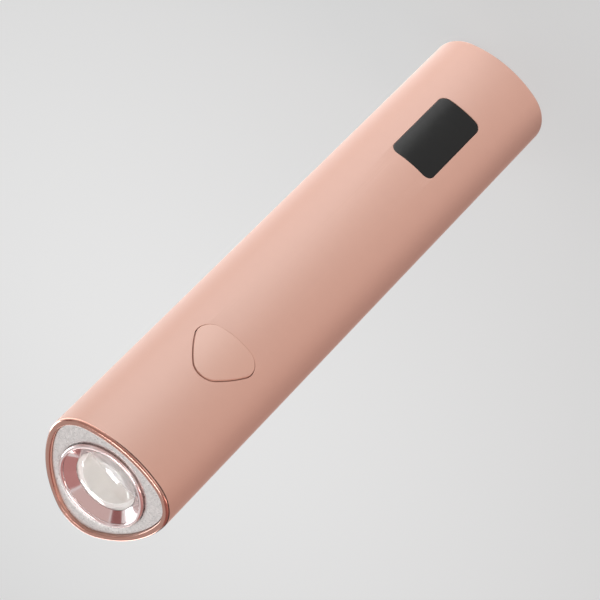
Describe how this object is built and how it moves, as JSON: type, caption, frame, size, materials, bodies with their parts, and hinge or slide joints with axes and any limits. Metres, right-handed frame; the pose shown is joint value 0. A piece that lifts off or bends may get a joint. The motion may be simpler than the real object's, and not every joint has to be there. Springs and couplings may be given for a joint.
{
  "type": "handheld nail lamp",
  "caption": "Cordless pen-shaped nail lamp: a three-sided moulded tube with a domed lens in its nose, a rounded press button, a dark display window and a charging port in its tail.",
  "frame": {"origin": "middle of the three-sided section, on the flat tail face that the lamp stands on", "axes": "+Z from the tail to the lens, along the body; the side with the button and the display faces -Y; X across that side"},
  "size_m": [0.026, 0.0256, 0.136],
  "materials": {
    "soft_touch_shell": "soft-touch matt blush pink over moulded ABS",
    "moulded_cap": "moulded matt pink ABS",
    "moulded_button": "moulded matt pink ABS",
    "satin_silver": "satin metallised plastic with a fine sparkle",
    "rose_chrome": "bright metallised plastic that mirrors the pink rim",
    "clear_lens": "clear moulded PMMA",
    "silicone": "translucent white silicone",
    "white_plastic": "moulded white plastic",
    "led_ceramic": "ceramic package with a clear silicone dome",
    "white_board": "aluminium board with white solder mask",
    "steel": "plated steel",
    "thermal_pad": "grey-blue thermal silicone",
    "bare_aluminium": "bare extruded aluminium",
    "wire_red": "PVC wire insulation",
    "black_plastic": "moulded black plastic",
    "smoked_window": "smoked polycarbonate, nearly black",
    "black_tape": "double-sided adhesive tape",
    "tinned_metal": "nickel and tin plate",
    "grey_plastic": "moulded dark grey ABS",
    "green_board": "glass-epoxy board with green solder mask",
    "ferrite": "pressed ferrite",
    "ceramic_tan": "fired ceramic",
    "cell_wrap": "heat-shrunk PVC sleeve on a steel can",
    "fish_paper": "vulcanised insulating paper",
    "black_foam": "closed-cell EVA foam"
  },
  "bodies": {
    "lamp": {"body_shell": "soft_touch_shell", "tail_cap": "moulded_cap", "front_plate": "satin_silver", "reflector": "rose_chrome", "lens": "clear_lens", "lens_gasket": "silicone", "lens_spacer": "white_plastic", "led_emitter": "led_ceramic", "led_board": "white_board", "led_screws": "steel", "thermal_pad": "thermal_pad", "heat_sink": "bare_aluminium", "led_wires": "wire_red", "switch_cover": "steel", "tact_switch": "black_plastic", "display_window": "smoked_window", "window_tape": "black_tape", "display_module": "white_plastic", "display_pins": "tinned_metal", "chassis": "grey_plastic", "main_board": "green_board", "board_screws": "steel", "usb_shell": "steel", "usb_tongue": "black_plastic", "charger_chip": "black_plastic", "controller_chip": "black_plastic", "driver_chip": "black_plastic", "driver_inductor": "ferrite", "capacitors": "ceramic_tan", "resistors": "black_plastic", "battery_socket": "white_plastic", "battery_plug": "white_plastic", "battery_wires": "wire_red", "battery_cell": "cell_wrap", "cell_insulator": "fish_paper", "battery_tabs": "tinned_metal", "battery_foam": "black_foam"},
    "button": {"button_cap": "moulded_button"},
    "plunger": {"switch_plunger": "black_plastic"}
  },
  "joints": [
    {"name": "button_press", "type": "slide", "parent": "lamp", "child": "button", "axis": [0, 1, 0], "range_m": [0, 0.00035], "stiffness_N_per_m": 400, "springref_m": -0.002},
    {"name": "plunger_press", "type": "slide", "parent": "lamp", "child": "plunger", "axis": [0, 1, 0], "range_m": [0, 0.00035]}
  ],
  "couplings": [
    {"joint": "plunger_press", "follows": "button_press", "ratio": 1}
  ]
}
